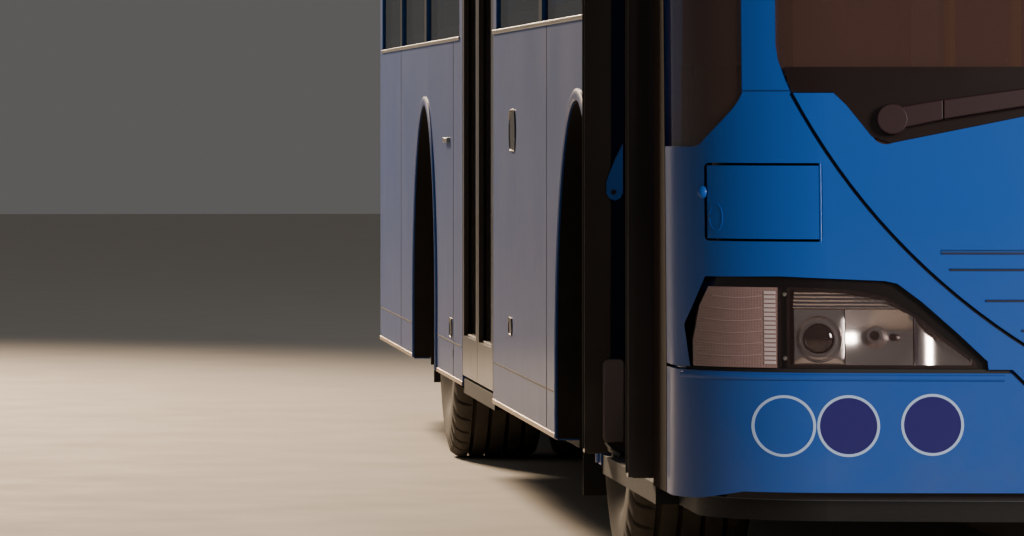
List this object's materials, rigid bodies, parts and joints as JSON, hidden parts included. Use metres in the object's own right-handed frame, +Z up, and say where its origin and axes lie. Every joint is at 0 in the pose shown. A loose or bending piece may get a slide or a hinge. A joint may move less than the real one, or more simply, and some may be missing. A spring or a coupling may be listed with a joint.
{
  "type": "city bus",
  "caption": "Twelve-metre low-floor city bus with two double-leaf doors, twin rear wheels, steered front wheels, an engine lid and a small service flap.",
  "frame": {"origin": "on the road under the middle of the bus", "axes": "+X forward, +Y to the driver's side (left), +Z up"},
  "size_m": [11.95, 3.03, 3.04],
  "materials": {
    "body_paint": "gloss",
    "roof_paint": "gloss",
    "black_plastic": "satin",
    "glazing": "polished",
    "lamp_clear": "polished",
    "lamp_red": "gloss",
    "door_frame": "powder coated",
    "chassis": "matt",
    "rim_paint": "satin",
    "tyre_rubber": "matt",
    "bellows_rubber": "matt",
    "floor_vinyl": "fine grit",
    "lining": "textured",
    "seat_cloth": "woven",
    "pole_coat": "powder coated",
    "engine_grey": "as cast"
  },
  "bodies": {
    "bus_body": {"front_panel": "body_paint", "front_corner_panels": "body_paint", "front_bumper": "body_paint", "headlamp_housings": "black_plastic", "headlamp_lenses": "lamp_clear", "turn_signal_lenses": "lamp_clear", "front_frame": "body_paint", "windscreen": "glazing", "corner_glass": "glazing", "roof": "roof_paint", "side_wall_right": "body_paint", "side_wall_left": "body_paint", "side_windows": "glazing", "rear_panel": "body_paint", "rear_window": "glazing", "tail_lamps": "lamp_red", "rear_bumper": "body_paint", "floor": "floor_vinyl", "front_wheel_housings": "lining", "rear_wheel_housings": "lining", "underframe": "chassis", "engine_block": "engine_grey", "front_axle": "chassis", "rear_axle": "chassis", "air_springs": "bellows_rubber", "mud_flaps": "bellows_rubber", "dashboard": "black_plastic", "steering_wheel": "black_plastic", "driver_seat": "seat_cloth", "passenger_seats": "seat_cloth", "grab_poles": "pole_coat", "roof_unit": "roof_paint", "mirrors": "black_plastic", "wipers": "black_plastic", "destination_box": "black_plastic"},
    "knuckle_right": {"knuckle_right": "chassis"},
    "knuckle_left": {"knuckle_left": "chassis"},
    "front_wheel_right": {"front_rim_right": "rim_paint", "front_tyre_right": "tyre_rubber"},
    "front_wheel_left": {"front_rim_left": "rim_paint", "front_tyre_left": "tyre_rubber"},
    "rear_wheels_right": {"rear_rims_right": "rim_paint", "rear_tyres_right": "tyre_rubber"},
    "rear_wheels_left": {"rear_rims_left": "rim_paint", "rear_tyres_left": "tyre_rubber"},
    "front_leaf_forward": {"front_door_leaf_forward": "door_frame", "front_door_glass_forward": "glazing"},
    "front_leaf_rearward": {"front_door_leaf_rearward": "door_frame", "front_door_glass_rearward": "glazing"},
    "middle_leaf_forward": {"middle_door_leaf_forward": "door_frame", "middle_door_glass_forward": "glazing"},
    "middle_leaf_rearward": {"middle_door_leaf_rearward": "door_frame", "middle_door_glass_rearward": "glazing"},
    "engine_lid": {"engine_lid": "body_paint"},
    "service_flap": {"service_flap": "body_paint"}
  },
  "joints": [
    {"name": "steer_right", "type": "hinge", "parent": "bus_body", "child": "knuckle_right", "pos_m": [3.27, -0.9, 0.479], "axis": [0, 0, 1], "range_deg": [-40, 40]},
    {"name": "steer_left", "type": "hinge", "parent": "bus_body", "child": "knuckle_left", "pos_m": [3.27, 0.9, 0.479], "axis": [0, 0, 1], "range_deg": [-40, 40]},
    {"name": "front_spin_right", "type": "hinge", "parent": "knuckle_right", "child": "front_wheel_right", "pos_m": [3.27, -1.05, 0.479], "axis": [0, 1, 0], "continuous": true},
    {"name": "front_spin_left", "type": "hinge", "parent": "knuckle_left", "child": "front_wheel_left", "pos_m": [3.27, 1.05, 0.479], "axis": [0, 1, 0], "continuous": true},
    {"name": "rear_spin_right", "type": "hinge", "parent": "bus_body", "child": "rear_wheels_right", "pos_m": [-2.575, -0.917, 0.479], "axis": [0, 1, 0], "continuous": true},
    {"name": "rear_spin_left", "type": "hinge", "parent": "bus_body", "child": "rear_wheels_left", "pos_m": [-2.575, 0.917, 0.479], "axis": [0, 1, 0], "continuous": true},
    {"name": "front_door_forward", "type": "hinge", "parent": "bus_body", "child": "front_leaf_forward", "pos_m": [5.101, -1.247, 1.3], "axis": [0, 0, 1], "range_deg": [0, 90]},
    {"name": "front_door_rearward", "type": "hinge", "parent": "bus_body", "child": "front_leaf_rearward", "pos_m": [3.999, -1.247, 1.3], "axis": [0, 0, -1], "range_deg": [0, 90]},
    {"name": "middle_door_forward", "type": "hinge", "parent": "bus_body", "child": "middle_leaf_forward", "pos_m": [0.391, -1.247, 1.3], "axis": [0, 0, -1], "range_deg": [0, 90]},
    {"name": "middle_door_rearward", "type": "hinge", "parent": "bus_body", "child": "middle_leaf_rearward", "pos_m": [-0.711, -1.247, 1.3], "axis": [0, 0, 1], "range_deg": [0, 90]},
    {"name": "engine_lid_hinge", "type": "hinge", "parent": "bus_body", "child": "engine_lid", "pos_m": [-5.972, 0, 1.3267], "axis": [0, 1, 0], "range_deg": [0, 75]},
    {"name": "service_flap_hinge", "type": "hinge", "parent": "bus_body", "child": "service_flap", "pos_m": [5.83819, -1.0183, 0.861], "axis": [-0.1001, 0, 0.995], "range_deg": [0, 85]}
  ],
  "couplings": [
    {"joint": "steer_left", "follows": "steer_right", "ratio": 1}
  ]
}
